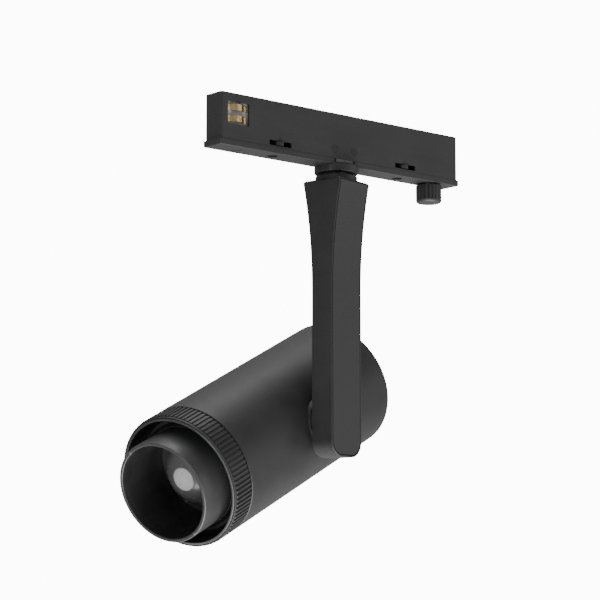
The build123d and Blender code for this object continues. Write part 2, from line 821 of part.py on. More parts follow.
with BuildPart() as pivot_nut:
    with BuildSketch(pivot_plane(nut_face)):
        RegularPolygon(bolt_radius + nut_wall, 6, major_radius=False)
        Circle(bolt_radius, mode=Mode.SUBTRACT)
    extrude(amount=pivot_nut_height)

# ============================================================================================================
# Head
# ============================================================================================================
with BuildPart() as head_housing:
    with BuildSketch(head_plane(body_rear)):
        Circle(body_radius)
        Circle(bore_radius, mode=Mode.SUBTRACT)
    extrude(amount=body_front - body_rear)
    rims = head_housing.edges().filter_by(GeomType.CIRCLE).group_by(SortBy.RADIUS)[-1].sort_by(head_axis)
    fillet(rims[0], radius=body_rear_edge)
    chamfer(rims[-1], length=body_front_edge)
    with BuildSketch(pivot_plane(0)):
        Circle(bolt_radius + loose_gap)
    extrude(amount=head_offset, mode=Mode.SUBTRACT)

with BuildPart() as rear_cap:
    with BuildSketch(head_plane(cap_face)):
        Circle(bore_radius - seat_fit)
        with PolarLocations(cap_slot_radius, cap_slots):
            SlotOverall(cap_slot_length, cap_slot_width, mode=Mode.SUBTRACT)
        with PolarLocations(cap_screw_circle, cap_screws):
            Circle(cap_screw_radius, mode=Mode.SUBTRACT)
    extrude(amount=cap_thickness)
    chamfer(
        rear_cap.edges().filter_by(GeomType.CIRCLE).group_by(SortBy.RADIUS)[-1].sort_by(head_axis)[0],
        length=body_front_edge,
    )

with BuildPart() as rear_cap_screws:
    with BuildSketch(head_plane(cap_face)):
        with PolarLocations(cap_screw_circle, cap_screws):
            Circle(cap_screw_radius)
    extrude(amount=cap_screw_length)
    with BuildSketch(head_plane(cap_face)):
        with PolarLocations(cap_screw_circle, cap_screws):
            Circle(cap_screw_head)
    extrude(amount=-cap_screw_head_height)

with BuildPart() as heat_sink:
    with BuildSketch(head_plane(sink_face)):
        Circle(bore_radius - seat_fit)
    extrude(amount=-sink_base)
    with BuildSketch(head_plane(sink_face - sink_base)):
        with GridLocations(1, sink_fin_pitch, 1, sink_fins):
            Rectangle(2 * bore_radius, sink_fin_thickness)
        Circle(bore_radius - sink_fin_inset, mode=Mode.INTERSECT)
    extrude(amount=cap_inner + sink_fin_stop - (sink_face - sink_base))
    with BuildSketch(head_plane(cap_inner)):
        with PolarLocations(cap_screw_circle, cap_screws):
            Circle(sink_post_radius)
    extrude(amount=sink_face - sink_base - cap_inner)
    with BuildSketch(head_plane(cap_inner)):
        with PolarLocations(cap_screw_circle, cap_screws):
            Circle(cap_screw_radius)
    extrude(amount=cap_screw_length, mode=Mode.SUBTRACT)
    with BuildSketch(head_plane(sink_face)):
        with PolarLocations(led_screw_circle, led_screws):
            Circle(led_screw_radius)
    extrude(amount=-sink_base / 2, mode=Mode.SUBTRACT)

with BuildPart() as led_board:
    with BuildSketch(head_plane(sink_face)):
        Circle(led_board_radius)
        with PolarLocations(led_screw_circle, led_screws):
            Circle(led_screw_radius, mode=Mode.SUBTRACT)
    extrude(amount=led_board_thickness)

with BuildPart() as led_chip:
    with BuildSketch(head_plane(board_face)):
        Circle(chip_on_board_radius)
    extrude(amount=chip_on_board_thickness)

with BuildPart() as led_holder:
    with BuildSketch(head_plane(board_face)):
        Circle(holder_radius)
        Circle(holder_bore, mode=Mode.SUBTRACT)
        with PolarLocations(led_screw_circle, led_screws):
            Circle(led_screw_radius, mode=Mode.SUBTRACT)
    extrude(amount=holder_height)

with BuildPart() as led_screw_pair:
    with BuildSketch(head_plane(holder_face)):
        with PolarLocations(led_screw_circle, led_screws):
            Circle(led_screw_radius)
    extrude(amount=-led_screw_length)
    with BuildSketch(head_plane(holder_face)):
        with PolarLocations(led_screw_circle, led_screws):
            Circle(led_screw_head)
    extrude(amount=led_screw_head_height)

reflector_front = holder_face + reflector_length
reflector = turned(
    [
        (reflector_throat, board_face + chip_on_board_thickness),
        (reflector_throat + reflector_wall / 2, board_face + chip_on_board_thickness),
        (reflector_throat + reflector_wall / 2, holder_face),
        (reflector_mouth + reflector_wall, reflector_front - reflector_wall),
        (reflector_mouth + reflector_rim, reflector_front - reflector_wall),
        (reflector_mouth + reflector_rim, reflector_front),
        (reflector_mouth, reflector_front),
        (reflector_throat, holder_face),
    ]
)

# ============================================================================================================
# Zoom: the ring turns a cam barrel, and its slots move the lens tube along straight slots in the guide
# ============================================================================================================
with BuildPart() as guide_sleeve:
    add(
        turned(
            [
                (guide_inner - guide_flange_lip, guide_rear),
                (bore_radius - seat_fit, guide_rear),
                (bore_radius - seat_fit, guide_flange_front),
                (guide_outer, guide_flange_front),
                (guide_outer, snap_station),
                (guide_outer - snap_depth, snap_station),
                (guide_outer - snap_depth, snap_station + snap_width),
                (guide_outer, snap_station + snap_width),
                (guide_outer, guide_front),
                (guide_inner, guide_front),
                (guide_inner, guide_flange_front),
                (guide_inner - guide_flange_lip, guide_flange_front),
            ]
        ).part
    )
    with BuildSketch(head_plane(slot_start)):
        with PolarLocations(guide_outer, pin_count):
            Rectangle(4 * guide_wall, slot_width)
    extrude(amount=slot_length, mode=Mode.SUBTRACT)

guide_snap_ring = ring(
    guide_outer - snap_depth, guide_outer - snap_depth + snap_height, snap_station, snap_station + snap_width
)

barrel_blank = turned(
    [
        (barrel_inner, barrel_rear),
        (barrel_outer, barrel_rear),
        (barrel_outer, barrel_web),
        (barrel_lip_outer, barrel_web),
        (barrel_lip_outer, barrel_front),
        (barrel_lip_inner, barrel_front),
        (barrel_lip_inner, barrel_web_front),
        (barrel_inner, barrel_web_front),
    ]
)
# A cam slot winds back as it runs forwards, so that turning the ring forwards pushes the pins out.
cam_pitch = 360 * lead_per_degree
entry_turn = (pin_station - slot_start) / lead_per_degree
with BuildPart() as cam_slot:
    with BuildLine() as winding:
        Helix(cam_pitch, slot_length, barrel_inner + barrel_wall / 2, lefthand=True)
    with BuildSketch(Plane(origin=winding.line @ 0, x_dir=(1, 0, 0), z_dir=winding.line % 0)):
        Rectangle(3 * barrel_wall, slot_width)
    sweep(path=winding.line, is_frenet=True)

with BuildPart() as cam_barrel:
    add(barrel_blank.part)
    for index in range(pin_count):
        with Locations(head_plane(slot_start, entry_turn + 360 / pin_count * index)):
            add(cam_slot.part, mode=Mode.SUBTRACT)

with BuildPart() as zoom_grip:
    with BuildSketch(head_plane(grip_rear)):
        Circle(body_radius)
        Circle(barrel_lip_outer, mode=Mode.SUBTRACT)
    extrude(amount=grip_front - grip_rear)
    with BuildSketch(head_plane(grip_rear)):
        with PolarLocations(body_radius, grip_ridges):
            Rectangle(2 * grip_groove_depth, grip_groove_width)
    extrude(amount=grip_front - grip_rear - grip_plain, mode=Mode.SUBTRACT)
    with BuildSketch(head_plane(grip_front - grip_plain)):
        Circle(body_radius + grip_line_depth)
        Circle(body_radius - grip_line_depth, mode=Mode.SUBTRACT)
    extrude(amount=grip_line_width, mode=Mode.SUBTRACT)
    with BuildSketch(head_plane(grip_front)):
        Circle(body_radius + grip_plain_drop)
        Circle(body_radius - grip_plain_drop, mode=Mode.SUBTRACT)
    extrude(amount=-grip_plain + grip_line_width, mode=Mode.SUBTRACT)

with BuildPart() as lens_tube:
    add(
        turned(
            [
                (tube_throat, tube_rear),
                (tube_radius, tube_rear),
                (tube_radius, tube_front),
                (tube_bore, tube_front),
                (tube_bore, tube_taper_front),
                (tube_throat, tube_taper_front - tube_taper_length),
                (tube_throat, lens_seat),
                (tube_throat - lens_seat_ledge, lens_seat),
                (tube_throat - lens_seat_ledge, lens_seat - lens_seat_thickness),
                (tube_throat, lens_seat - lens_seat_thickness),
            ]
        ).part
    )
    lip = lens_tube.edges().filter_by(GeomType.CIRCLE).group_by(head_axis)[-1]
    fillet(lip, radius=tube_lip)
    for index in range(pin_count):
        with BuildSketch(pin_plane(index)):
            Circle(pin_radius)
        extrude(amount=tube_radius + tube_wall, mode=Mode.SUBTRACT)

with BuildPart() as follower_pins:
    for index in range(pin_count):
        with BuildSketch(pin_plane(index).offset(tube_throat)):
            Circle(pin_radius)
        extrude(amount=barrel_outer - loose_gap - tube_throat)

with BuildPart() as lens:
    with BuildSketch(head_section()):
        with BuildLine():
            Polyline(
                (0, lens_top),
                (0, lens_seat),
                (tube_throat - seat_fit, lens_seat),
                (tube_throat - seat_fit, lens_front),
                (lens_dome_radius, lens_front),
            )
            dome_sphere = (lens_dome_radius**2 + lens_dome_height**2) / (2 * lens_dome_height)
            half_angle = atan2(lens_dome_radius, dome_sphere - lens_dome_height) / 2
            ThreePointArc(
                (lens_dome_radius, lens_front),
                (
                    dome_sphere * sin(half_angle),
                    lens_top - dome_sphere * (1 - cos(half_angle)),
                ),
                (0, lens_top),
            )
        make_face()
    revolve(axis=head_axis)

lens_retainer = ring(
    lens_dome_radius + retainer_gap, tube_throat - seat_fit, lens_front, lens_front + retainer_height
)

# ============================================================================================================
pieces = {
    "adapter_housing": adapter_housing,
    "swivel_bush": swivel_bush,
    "bush_screws": bush_screws,
    "cover_plate_left": cover_plate_left,
    "cover_plate_right": cover_plate_right,
    "blank_plug": blank_plug,
    "contact_carrier": contact_carrier,
    "contact_leaves": contact_leaves,
    "driver_board": driver_board,
    "driver_components": driver_components,
    "cam_bridges": cam_bridges,
    "lock_cam_left": lock_cam_left,
    "lock_cam_right": lock_cam_right,
    "dimmer_pot": dimmer_pot,
    "dimmer_shaft": dimmer_shaft,
    "dimmer_knob": dimmer_knob,
    "upper_collar": upper_collar,
    "lower_collar": lower_collar,
    "swivel_washer": swivel_washer,
    "swivel_nipple": swivel_nipple,
    "top_washer": top_washer,
    "top_nut": top_nut,
    "lower_nut": lower_nut,
    "arm_body": arm_body,
    "arm_cover": arm_cover,
    "arm_lead": arm_lead,
    "pivot_bolt": pivot_bolt,
    "friction_washer": friction_washer,
    "pivot_boss": pivot_boss,
    "pivot_saddle": pivot_saddle,
    "disc_spring": disc_spring,
    "pivot_nut": pivot_nut,
    "head_housing": head_housing,
    "rear_cap": rear_cap,
    "rear_cap_screws": rear_cap_screws,
    "heat_sink": heat_sink,
    "led_board": led_board,
    "led_chip": led_chip,
    "led_holder": led_holder,
    "led_screws": led_screw_pair,
    "reflector": reflector,
    "guide_sleeve": guide_sleeve,
    "guide_snap_ring": guide_snap_ring,
    "cam_barrel": cam_barrel,
    "zoom_grip": zoom_grip,
    "lens_tube": lens_tube,
    "follower_pins": follower_pins,
    "lens": lens,
    "lens_retainer": lens_retainer,
}
for name, piece in pieces.items():
    piece.part.label = name
    export_step(piece.part, f"parts/{name}.step")
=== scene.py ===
import json
from math import asin, cos, pi, radians, sin

import bmesh
import bpy
from mathutils import Matrix, Vector


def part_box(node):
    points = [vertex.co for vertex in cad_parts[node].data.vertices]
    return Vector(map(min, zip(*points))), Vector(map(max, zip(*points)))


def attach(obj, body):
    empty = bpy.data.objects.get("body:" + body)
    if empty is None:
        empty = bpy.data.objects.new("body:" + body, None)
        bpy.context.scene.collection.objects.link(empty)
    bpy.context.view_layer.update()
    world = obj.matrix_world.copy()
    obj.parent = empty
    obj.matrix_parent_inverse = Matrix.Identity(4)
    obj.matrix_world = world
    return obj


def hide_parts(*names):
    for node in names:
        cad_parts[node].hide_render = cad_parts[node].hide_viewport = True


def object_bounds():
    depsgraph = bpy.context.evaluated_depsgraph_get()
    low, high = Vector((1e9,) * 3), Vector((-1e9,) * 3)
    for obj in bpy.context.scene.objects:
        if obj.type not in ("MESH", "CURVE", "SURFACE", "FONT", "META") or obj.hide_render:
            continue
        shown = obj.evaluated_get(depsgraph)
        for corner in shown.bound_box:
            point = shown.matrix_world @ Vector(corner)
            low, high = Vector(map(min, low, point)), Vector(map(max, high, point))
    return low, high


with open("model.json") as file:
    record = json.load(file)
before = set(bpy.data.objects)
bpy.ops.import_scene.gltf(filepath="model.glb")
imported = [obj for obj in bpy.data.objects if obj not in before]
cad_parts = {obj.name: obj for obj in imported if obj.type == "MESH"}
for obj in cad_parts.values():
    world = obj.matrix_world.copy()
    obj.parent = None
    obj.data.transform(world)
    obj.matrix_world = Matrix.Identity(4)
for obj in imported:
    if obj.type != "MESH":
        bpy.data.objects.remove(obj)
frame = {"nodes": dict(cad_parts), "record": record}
cad_box = [list(corner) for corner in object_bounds()]

MM = 0.001
SHARP = radians(32)               # edges that turn more than this are corners
FLAT = radians(0.5)               # faces that meet at less than this are one face
WELD = 0.002 * MM                 # points nearer than this are one point

record = frame["record"]
joints = {joint["name"]: joint for joint in record["behaviour"]["joints"]}
slot_of = {part["node"]: part["material_slot"] for part in record["subparts"]}
body_of = {node: body for body, nodes in record["behaviour"]["bodies"].items() for node in nodes}

# ---- places and directions, all from the frame -------------------------------------------------------------
up = Vector((0, 0, 1))
forward = Vector(joints["zoom_turn"]["axis"]).normalized()
arm_back = -Vector(joints["head_tilt"]["axis"]).normalized()
arm_across = arm_back.cross(up)
ring_point = Vector(joints["zoom_turn"]["pos_m"])
pivot_point = Vector(joints["head_tilt"]["pos_m"])
head_centre = ring_point + forward * (pivot_point - ring_point).dot(forward)
head_side = -arm_back
head_crown = forward.cross(head_side)


def frame_at(origin, x_direction, y_direction, z_direction):
    """The matrix that carries a shape made about its own Z axis to its place."""
    turn = Matrix((x_direction, y_direction, z_direction)).transposed()
    return Matrix.Translation(origin) @ turn.to_4x4()


head_place = frame_at(head_centre, head_side, head_crown, forward)
pivot_place = frame_at(pivot_point, arm_across, up, arm_back)


def reach(node, place=head_place):
    """Lowest and highest station, and smallest and largest radius, of a node about the Z axis of a place."""
    back = place.inverted()
    points = [back @ vertex.co for vertex in frame["nodes"][node].data.vertices]
    radii = [point.xy.length for point in points]
    return min(p.z for p in points), max(p.z for p in points), min(radii), max(radii)


# ---- camera ------------------------------------------------------------------------------------------------
FOCAL_LENGTH = 135.9              # millimetres, as is the sensor's width
SENSOR_WIDTH = 36
CAMERA_POINT = Vector((-0.7386, -0.8225, -0.2551))
CAMERA_YAW = radians(40.99)
CAMERA_PITCH = radians(8.37)

camera_data = bpy.data.cameras.new("camera")
camera_data.lens = FOCAL_LENGTH
camera_data.sensor_width = SENSOR_WIDTH
camera = bpy.data.objects.new("camera", camera_data)
camera.location = CAMERA_POINT
camera.rotation_euler = (pi / 2 + CAMERA_PITCH, 0, -CAMERA_YAW)
bpy.context.scene.collection.objects.link(camera)
bpy.context.scene.camera = camera

# ---- studio ------------------------------------------------------------------------------------------------
FLOOR_DROP = 0.60                 # from the lowest point of the lamp
FLOOR_SIZE = 60.0
FLOOR_PALE = (0.86, 0.86, 0.86, 1)
FLOOR_ROUGHNESS = 0.9


def studio_floor():
    """A plain pale floor under the hanging lamp."""
    mesh = bpy.data.meshes.new("studio_floor")
    bm = bmesh.new()
    lowest = cad_box[0][2] - FLOOR_DROP
    bmesh.ops.create_grid(bm, x_segments=2, y_segments=2, size=FLOOR_SIZE / 2)
    bmesh.ops.translate(bm, verts=bm.verts, vec=(0, 0, lowest))
    bm.to_mesh(mesh)
    bm.free()
    floor = bpy.data.objects.new("studio_floor", mesh)
    bpy.context.scene.collection.objects.link(floor)
    paint = bpy.data.materials.new("studio_floor_paint")
    paint.use_nodes = True
    shader = paint.node_tree.nodes["Principled BSDF"]
    shader.inputs["Base Color"].default_value = FLOOR_PALE
    shader.inputs["Roughness"].default_value = FLOOR_ROUGHNESS
    mesh.materials.append(paint)


def soft_light(name, point, target, size, power):
    """A square soft box that faces a target."""
    light = bpy.data.lights.new(name, "AREA")
    light.shape = "SQUARE"
    light.size = size
    light.energy = power
    box = bpy.data.objects.new(name, light)
    box.location = point
    box.rotation_mode = "QUATERNION"
    box.rotation_quaternion = (Vector(target) - Vector(point)).to_track_quat("-Z", "Y")
    box.visible_camera = False
    bpy.context.scene.collection.objects.link(box)


def studio_world(light_strength, backdrop_strength):
    """A white backdrop for the camera, and a weaker even light from all round."""
    world = bpy.data.worlds.new("studio")
    bpy.context.scene.world = world
    world.use_nodes = True
    nodes, links = world.node_tree.nodes, world.node_tree.links
    nodes.clear()
    seen = nodes.new("ShaderNodeBackground")
    seen.inputs["Strength"].default_value = backdrop_strength
    lit = nodes.new("ShaderNodeBackground")
    lit.inputs["Strength"].default_value = light_strength
    for background in (seen, lit):
        background.inputs["Color"].default_value = (1, 1, 1, 1)
    path = nodes.new("ShaderNodeLightPath")
    mix = nodes.new("ShaderNodeMixShader")
    output = nodes.new("ShaderNodeOutputWorld")
    links.new(path.outputs["Is Camera Ray"], mix.inputs["Fac"])
    links.new(lit.outputs[0], mix.inputs[1])
    links.new(seen.outputs[0], mix.inputs[2])
    links.new(mix.outputs[0], output.inputs["Surface"])


studio_floor()
studio_world(light_strength=0.36, backdrop_strength=12.0)
soft_light("top_softbox", point=(-0.1, 0.1, 1.3), target=(0, 0, -0.1), size=1.2, power=18)
soft_light("right_softbox", point=(1.5, -1.2, 0.1), target=(0, 0, -0.12), size=1.0, power=3)
soft_light("front_softbox", point=(-1.3, -0.6, -0.4), target=(-0.05, 0, -0.16), size=0.7, power=3)
soft_light("low_softbox", point=(0.0, -0.1, -0.78), target=(0, 0, -0.1), size=0.9, power=18)

# ============================================================================================================
# Finishes
# ============================================================================================================
NOISE_LOW, NOISE_HIGH = 0.3, 0.7  # a noise texture seldom goes past these
head_turn = head_place.inverted()


class Finish:
    """A material with one Principled shader, and short ways to feed its colour, roughness and bump."""

    def __init__(self, name, colour, roughness, metallic=0.0, specular=0.5):
        self.material = bpy.data.materials.new(name)
        self.material.use_nodes = True
        self.nodes = self.material.node_tree.nodes
        self.links = self.material.node_tree.links
        self.shader = self.nodes["Principled BSDF"]
        self.shader.inputs["Base Color"].default_value = (*colour, 1)
        self.shader.inputs["Roughness"].default_value = roughness
        self.shader.inputs["Metallic"].default_value = metallic
        self.shader.inputs["Specular IOR Level"].default_value = specular
        self.point = self.nodes.new("ShaderNodeTexCoord").outputs["Object"]
        self.normal = None

    def place_on(self, matrix):
        """Measures the pattern from a place, along its axes."""
        mapping = self.nodes.new("ShaderNodeMapping")
        mapping.inputs["Location"].default_value = matrix.to_translation()
        mapping.inputs["Rotation"].default_value = matrix.to_euler()
        self.links.new(self.point, mapping.inputs["Vector"])
        self.point = mapping.outputs["Vector"]

    def noise(self, size, detail=2.0, stretch=None):
        """A cloudy value whose features are about so many metres across."""
        texture = self.nodes.new("ShaderNodeTexNoise")
        texture.inputs["Scale"].default_value = 1 / size
        texture.inputs["Detail"].default_value = detail
        point = self.point
        if stretch:
            mapping = self.nodes.new("ShaderNodeMapping")
            mapping.inputs["Scale"].default_value = stretch
            self.links.new(point, mapping.inputs["Vector"])
            point = mapping.outputs["Vector"]
        self.links.new(point, texture.inputs["Vector"])
        return texture.outputs["Fac"]

    def cells(self, size):
        """The distance from the nearest of many scattered points."""
        texture = self.nodes.new("ShaderNodeTexVoronoi")
        texture.inputs["Scale"].default_value = 1 / size
        self.links.new(self.point, texture.inputs["Vector"])
        return texture.outputs["Distance"]

    def edges(self):
        """The surface's pointedness: about a half where it is flat, more on outer edges."""
        return self.nodes.new("ShaderNodeNewGeometry").outputs["Pointiness"]

    def part(self, axis):
        """One coordinate of the pattern's place."""
        split = self.nodes.new("ShaderNodeSeparateXYZ")
        self.links.new(self.point, split.inputs["Vector"])
        return split.outputs[axis]

    def sum(self, operation, first, second):
        """A sum of two values or numbers."""
        node = self.nodes.new("ShaderNodeMath")
        node.operation = operation
        for socket, value in zip(node.inputs, (first, second)):
            if isinstance(value, (int, float)):
                socket.default_value = value
            else:
                self.links.new(value, socket)
        return node.outputs["Value"]

    def radius(self):
        """The distance from the Z axis of the pattern's place."""
        x, y = self.part("X"), self.part("Y")
        square = self.sum("ADD", self.sum("MULTIPLY", x, x), self.sum("MULTIPLY", y, y))
        return self.sum("SQRT", square, 0.0)

    def spread(self, value, low_in, high_in, low_out, high_out, smooth=False):
        """The value carried from one range to another."""
        node = self.nodes.new("ShaderNodeMapRange")
        node.interpolation_type = "SMOOTHSTEP" if smooth else "LINEAR"
        node.inputs["From Min"].default_value = low_in
        node.inputs["From Max"].default_value = high_in
        node.inputs["To Min"].default_value = low_out
        node.inputs["To Max"].default_value = high_out
        self.links.new(value, node.inputs["Value"])
        return node.outputs["Result"]

    def clouded(self, noise, low_out=0.0, high_out=1.0):
        """A noise texture's value carried to a range."""
        return self.spread(noise, NOISE_LOW, NOISE_HIGH, low_out, high_out)

    def tint(self, factor, first, second):
        """Colours the surface between two colours."""
        node = self.nodes.new("ShaderNodeMix")
        node.data_type = "RGBA"
        colour_a, colour_b = node.inputs[6], node.inputs[7]
        colour_a.default_value = (*first, 1)
        colour_b.default_value = (*second, 1)
        self.links.new(factor, node.inputs["Factor"])
        self.links.new(node.outputs[2], self.shader.inputs["Base Color"])

    def rough(self, value):
        """Feeds the roughness."""
        self.links.new(value, self.shader.inputs["Roughness"])

    def relief(self, height, depth, strength=1.0):
        """Adds a bump so many metres deep."""
        node = self.nodes.new("ShaderNodeBump")
        node.inputs["Strength"].default_value = strength
        node.inputs["Distance"].default_value = depth
        self.links.new(height, node.inputs["Height"])
        if self.normal is not None:
            self.links.new(self.normal, node.inputs["Normal"])
        self.normal = node.outputs["Normal"]
        self.links.new(self.normal, self.shader.inputs["Normal"])


def grey(value):
    """A neutral colour."""
    return (value, value, value)


def powder_coat():
    """Fine black powder coat: a dry, slightly pebbled skin, painted a little paler on its edges as painted
    highlight and slight wear.
    """
    finish = Finish("black_powder_coat", grey(0.022), 0.5, specular=0.5)
    pebbles = finish.noise(0.45 * MM, detail=3)
    clouds = finish.noise(14 * MM, detail=2)
    # painted highlight and slight wear: the colour is paler where the surface is pointed, on outer edges
    painted_edge_highlight = finish.spread(finish.edges(), 0.52, 0.6, 0.0, 0.35)
    shade = finish.sum("ADD", finish.clouded(clouds, 0.0, 0.3), painted_edge_highlight)
    finish.tint(shade, grey(0.020), grey(0.036))
    finish.rough(finish.clouded(clouds, 0.44, 0.52))
    finish.relief(pebbles, 0.02 * MM, 0.6)
    return finish.material


SHADED_HOLLOW_INSIDE = 25.45 * MM        # the hollow between the tube and the barrel is made matt and painted darker, as painted shade in the recess
SHADED_HOLLOW_OUTSIDE = 31.1 * MM
SHADED_HOLLOW_FADE = 0.1 * MM


def black_anodised():
    """Satin black anodising over fine turning marks round the head's axis, made matt and painted darker
    inside the barrel as painted shade, and painted paler on its edges as painted highlight.
    """
    finish = Finish("satin_black_anodising", grey(0.018), 0.38, specular=0.5)
    finish.place_on(head_turn)
    marks = finish.noise(0.12 * MM, detail=1, stretch=(0.02, 0.02, 1.0))
    clouds = finish.noise(9 * MM)
    radius = finish.radius()
    # painted shade: between these radii the colour is darker and the surface matt
    outside = finish.spread(radius, SHADED_HOLLOW_OUTSIDE, SHADED_HOLLOW_OUTSIDE + SHADED_HOLLOW_FADE, 0.0, 1.0)
    inside = finish.spread(radius, SHADED_HOLLOW_INSIDE, SHADED_HOLLOW_INSIDE + SHADED_HOLLOW_FADE, 1.0, 0.0)
    out_of_shaded_hollow = finish.sum("MAXIMUM", outside, inside)
    # painted highlight: the colour is paler on outer edges and lips, where they catch the light
    painted_edge_highlight = finish.spread(finish.edges(), 0.505, 0.55, 0.0, 0.8)
    shade = finish.sum("ADD", finish.clouded(clouds, 0.1, 0.2), painted_edge_highlight)
    finish.tint(finish.sum("MULTIPLY", shade, out_of_shaded_hollow), grey(0.004), grey(0.11))
    dull = finish.clouded(marks, 0.93, 1.0)
    finish.rough(finish.sum("SUBTRACT", dull, finish.sum("MULTIPLY", out_of_shaded_hollow, 0.6)))
    finish.relief(marks, 0.004 * MM, 0.4)
    return finish.material


def black_plastic():
    """Black glass-filled moulding with a fine spark-eroded texture."""
    finish = Finish("black_moulding", grey(0.024), 0.5, specular=0.5)
    grain = finish.noise(0.3 * MM, detail=4)
    flow = finish.noise(11 * MM, detail=3, stretch=(0.35, 1.0, 1.0))
    finish.tint(finish.clouded(flow), grey(0.021), grey(0.030))
    finish.rough(finish.clouded(grain, 0.44, 0.56))
    finish.relief(grain, 0.018 * MM, 0.5)
    return finish.material


def grey_insulator():
    """Grey moulded insulator, a little mottled."""
    finish = Finish("grey_insulator", grey(0.3), 0.55)
    mottle = finish.noise(2.5 * MM, detail=3)
    finish.tint(finish.clouded(mottle), grey(0.26), grey(0.36))
    finish.relief(finish.noise(0.2 * MM), 0.01 * MM, 0.4)
    return finish.material


def plated_steel():
    """Zinc-plated steel with drawn scratches."""
    finish = Finish("zinc_plate", (0.56, 0.57, 0.6), 0.3, metallic=1.0)
    scratches = finish.noise(0.35 * MM, detail=3, stretch=(0.2, 1.0, 1.0))
    bloom = finish.noise(3 * MM)
    finish.tint(finish.clouded(bloom), (0.48, 0.49, 0.52), (0.66, 0.66, 0.68))
    finish.rough(finish.clouded(scratches, 0.24, 0.4))
    finish.relief(scratches, 0.004 * MM, 0.5)
    return finish.material


def black_steel():
    """Steel blackened in an oxide bath, with a faint oily sheen."""
    finish = Finish("black_oxide_steel", grey(0.03), 0.35, metallic=0.6)
    bloom = finish.noise(1.2 * MM, detail=3)
    finish.tint(finish.clouded(bloom), grey(0.02), grey(0.045))
    finish.rough(finish.clouded(bloom, 0.28, 0.42))
    finish.relief(finish.noise(0.2 * MM), 0.004 * MM, 0.4)
    return finish.material


def contact_brass():
    """Rolled spring brass, tarnished in places."""
    finish = Finish("spring_brass", (0.72, 0.52, 0.24), 0.26, metallic=1.0)
    tarnish = finish.noise(2.2 * MM, detail=4)
    finish.tint(finish.spread(tarnish, 0.4, 0.7, 0.0, 1.0), (0.76, 0.57, 0.28), (0.5, 0.34, 0.15))
    finish.rough(finish.clouded(tarnish, 0.2, 0.38))
    finish.relief(finish.noise(0.3 * MM, stretch=(0.1, 1, 1)), 0.003 * MM, 0.5)
    return finish.material


def circuit_board():
    """Green solder resist over raised copper tracks."""
    finish = Finish("solder_resist", (0.01, 0.09, 0.045), 0.3)
    tracks = finish.nodes.new("ShaderNodeTexBrick")
    tracks.inputs["Scale"].default_value = 1 / (7 * MM)
    tracks.inputs["Mortar Size"].default_value = 0.05
    finish.links.new(finish.point, tracks.inputs["Vector"])
    finish.tint(tracks.outputs["Fac"], (0.008, 0.075, 0.04), (0.03, 0.17, 0.08))
    finish.rough(finish.clouded(finish.noise(1.5 * MM), 0.24, 0.36))
    finish.relief(tracks.outputs["Fac"], 0.03 * MM, 0.6)
    return finish.material


def bare_aluminium():
    """Cast and machined aluminium."""
    finish = Finish("bare_aluminium", (0.6, 0.6, 0.62), 0.4, metallic=1.0)
    cast = finish.noise(0.8 * MM, detail=4)
    finish.tint(finish.clouded(cast), (0.5, 0.5, 0.52), (0.68, 0.68, 0.7))
    finish.rough(finish.clouded(cast, 0.34, 0.52))
    finish.relief(cast, 0.02 * MM, 0.4)
    return finish.material


def fibre_washer():
    """Pressed brown fibre."""
    finish = Finish("pressed_fibre", (0.05, 0.038, 0.03), 0.7)
    fibres = finish.noise(0.4 * MM, detail=5, stretch=(0.3, 1.0, 1.0))
    finish.tint(finish.spread(fibres, 0.35, 0.65, 0.0, 1.0), (0.03, 0.024, 0.02), (0.085, 0.065, 0.05))
    finish.relief(fibres, 0.03 * MM, 0.6)
    return finish.material


def lead_jacket():
    """Pale silicone jacket with a dusty sheen."""
    finish = Finish("silicone_jacket", (0.62, 0.62, 0.6), 0.45)
    dust = finish.noise(1.8 * MM, detail=4)
    finish.tint(finish.clouded(dust), (0.54, 0.54, 0.52), (0.68, 0.68, 0.66))
    finish.relief(dust, 0.02 * MM, 0.3)
    return finish.material


def phosphor():
    """Yellow phosphor gel over the LED."""
    finish = Finish("phosphor_gel", (0.85, 0.62, 0.12), 0.35)
    grains = finish.noise(0.25 * MM, detail=4)
    finish.tint(finish.clouded(grains), (0.78, 0.52, 0.08), (0.92, 0.72, 0.2))
    finish.relief(grains, 0.02 * MM, 0.4)
    return finish.material


def reflector_film():
    """Vacuum-metallised plastic, faintly rippled."""
    finish = Finish("metallised_film", grey(0.82), 0.12, metallic=1.0)
    ripple = finish.noise(1.6 * MM, detail=2)
    finish.tint(finish.clouded(ripple), grey(0.74), grey(0.88))
    finish.rough(finish.clouded(ripple, 0.08, 0.2))
    finish.relief(ripple, 0.02 * MM, 0.3)
    return finish.material


PAINTED_SPOT_RADIUS = 5.8 * MM           # of the painted bright spot in the middle of the lens: the LED and its reflector seen through the glass, painted on
PAINTED_SPOT_FADE = 0.5 * MM
LENS_RADIUS = 18.5 * MM


